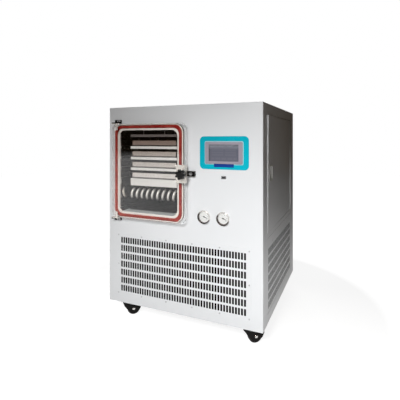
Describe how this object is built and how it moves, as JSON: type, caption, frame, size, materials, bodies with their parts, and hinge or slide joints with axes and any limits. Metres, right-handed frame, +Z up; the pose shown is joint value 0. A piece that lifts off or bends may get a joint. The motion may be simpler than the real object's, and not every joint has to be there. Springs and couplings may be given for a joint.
{
  "type": "freeze dryer",
  "caption": "Floor-standing pilot freeze dryer: sheet-metal cabinet on casters, clear-door vacuum chamber with heated shelves and trays, touch panel, gauges, slotted intake.",
  "frame": {"origin": "on the floor, under the centre of the whole machine", "axes": "+Z up; the front with the chamber door faces -Y; +X is to the right of someone facing the front"},
  "size_m": [0.896, 1.036, 1.19],
  "materials": {
    "white_paint": "satin powder coat",
    "dark_paint": "satin",
    "black_paint": "satin",
    "filter_foam": "open-cell foam",
    "bright_steel": "zinc plated",
    "stainless": "brushed",
    "chrome_trim": "bright",
    "foam": "closed-cell foam",
    "clear_acrylic": "clear",
    "red_silicone": "matte",
    "black_plastic": "fine grain",
    "turquoise_film": "gloss film",
    "grey_plastic": "fine grain",
    "display_glass": "gloss",
    "dial_white": "matt",
    "clear_glass": "clear",
    "fin_metal": "mill",
    "heater_paint": "satin",
    "valve_brass": "cast",
    "red_paint": "dipped vinyl",
    "wheel_rubber": "matte"
  },
  "bodies": {
    "cabinet": {"base_pan": "dark_paint", "front_panel": "white_paint", "grille_sheet": "white_paint", "dust_filter": "filter_foam", "fasteners": "bright_steel", "left_side": "white_paint", "right_side_frame": "white_paint", "vent_panel": "white_paint", "rear_panel": "white_paint", "top_cover": "white_paint", "chamber": "stainless", "insulation": "foam", "shelf_plates": "stainless", "shelf_rack": "stainless", "trays": "stainless", "condenser_coil": "stainless", "hinge_brackets": "black_paint", "latch_keeper": "black_paint", "overlay": "turquoise_film", "touch_panel": "grey_plastic", "display_glass": "display_glass", "data_port": "black_plastic", "gauge_cases": "chrome_trim", "gauge_dials": "dial_white", "gauge_glasses": "clear_glass", "compressor": "black_paint", "radiator": "fin_metal", "fan_shroud": "dark_paint", "oil_heater": "heater_paint", "vacuum_line": "stainless", "drain_valve": "valve_brass", "cable_gland": "black_plastic", "switch_body": "black_plastic", "caster_plates": "black_paint"},
    "door": {"door_pane": "clear_acrylic", "door_seal": "red_silicone", "latch_angle": "stainless", "hinge_arms": "stainless"},
    "latch_nut": {"latch_sleeve": "bright_steel"},
    "latch_knob": {"latch_stud": "bright_steel", "star_knob": "black_plastic"},
    "suction_pointer": {"suction_needle": "black_paint"},
    "discharge_pointer": {"discharge_needle": "black_paint"},
    "side_access": {"side_door": "white_paint", "side_door_pull": "chrome_trim"},
    "fan": {"fan_rotor": "fin_metal"},
    "drain_handle": {"drain_lever": "red_paint"},
    "power_rocker": {"switch_rocker": "black_plastic"},
    "caster_fl": {"fork_fl": "black_paint", "axle_fl": "chrome_trim"},
    "roller_fl": {"wheel_fl": "wheel_rubber"},
    "caster_fr": {"fork_fr": "black_paint", "axle_fr": "chrome_trim"},
    "roller_fr": {"wheel_fr": "wheel_rubber"},
    "caster_bl": {"fork_bl": "black_paint", "axle_bl": "chrome_trim"},
    "roller_bl": {"wheel_bl": "wheel_rubber"},
    "caster_br": {"fork_br": "black_paint", "axle_br": "chrome_trim"},
    "roller_br": {"wheel_br": "wheel_rubber"}
  },
  "joints": [
    {"name": "door_swing", "type": "hinge", "parent": "cabinet", "child": "door", "pos_m": [-0.398, -0.4625, 0.836], "axis": [0, 0, -1], "range_deg": [0, 120]},
    {"name": "latch_travel", "type": "slide", "parent": "door", "child": "latch_nut", "axis": [0, -1, 0], "range_m": [0, 0.015]},
    {"name": "latch_turn", "type": "hinge", "parent": "latch_nut", "child": "latch_knob", "pos_m": [0.046, -0.49, 0.834], "axis": [0, -1, 0], "range_deg": [0, 3600]},
    {"name": "suction_pointer_turn", "type": "hinge", "parent": "cabinet", "child": "suction_pointer", "pos_m": [0.144, -0.43, 0.616], "axis": [0, -1, 0], "range_deg": [-23, 247]},
    {"name": "discharge_pointer_turn", "type": "hinge", "parent": "cabinet", "child": "discharge_pointer", "pos_m": [0.247, -0.43, 0.616], "axis": [0, -1, 0], "range_deg": [-23, 247]},
    {"name": "side_door_swing", "type": "hinge", "parent": "cabinet", "child": "side_access", "pos_m": [0.441, 0.338, 0.837], "axis": [0, 0, 1], "range_deg": [0, 100]},
    {"name": "fan_spin", "type": "hinge", "parent": "cabinet", "child": "fan", "pos_m": [0, -0.3, 0.258], "axis": [0, 1, 0], "continuous": true},
    {"name": "drain_lever_turn", "type": "hinge", "parent": "cabinet", "child": "drain_handle", "pos_m": [-0.316, 0.484, 0.664], "axis": [0, 0, 1], "range_deg": [0, 90]},
    {"name": "power_switch_rock", "type": "hinge", "parent": "cabinet", "child": "power_rocker", "pos_m": [0.228, 0.443, 0.75], "axis": [1, 0, 0], "range_deg": [0, 16]},
    {"name": "front_left_swivel", "type": "hinge", "parent": "cabinet", "child": "caster_fl", "pos_m": [-0.36, -0.38, 0.08], "axis": [0, 0, 1], "continuous": true},
    {"name": "front_left_roll", "type": "hinge", "parent": "caster_fl", "child": "roller_fl", "pos_m": [-0.33163, -0.35784, 0.036], "axis": [0.6157, -0.788, 0], "continuous": true},
    {"name": "front_right_swivel", "type": "hinge", "parent": "cabinet", "child": "caster_fr", "pos_m": [0.36, -0.38, 0.08], "axis": [0, 0, 1], "continuous": true},
    {"name": "front_right_roll", "type": "hinge", "parent": "caster_fr", "child": "roller_fr", "pos_m": [0.38758, -0.35686, 0.036], "axis": [0.6428, -0.766, 0], "continuous": true},
    {"name": "back_left_swivel", "type": "hinge", "parent": "cabinet", "child": "caster_bl", "pos_m": [-0.36, 0.396, 0.08], "axis": [0, 0, 1], "continuous": true},
    {"name": "back_left_roll", "type": "hinge", "parent": "caster_bl", "child": "roller_bl", "pos_m": [-0.37349, 0.42938, 0.036], "axis": [0.9272, 0.3746, 0], "continuous": true},
    {"name": "back_right_swivel", "type": "hinge", "parent": "cabinet", "child": "caster_br", "pos_m": [0.36, 0.396, 0.08], "axis": [0, 0, 1], "continuous": true},
    {"name": "back_right_roll", "type": "hinge", "parent": "caster_br", "child": "roller_br", "pos_m": [0.35437, 0.43156, 0.036], "axis": [0.9877, 0.1564, 0], "continuous": true}
  ],
  "couplings": [
    {"joint": "latch_turn", "follows": "latch_travel", "rad_per_m": 4188.8}
  ]
}
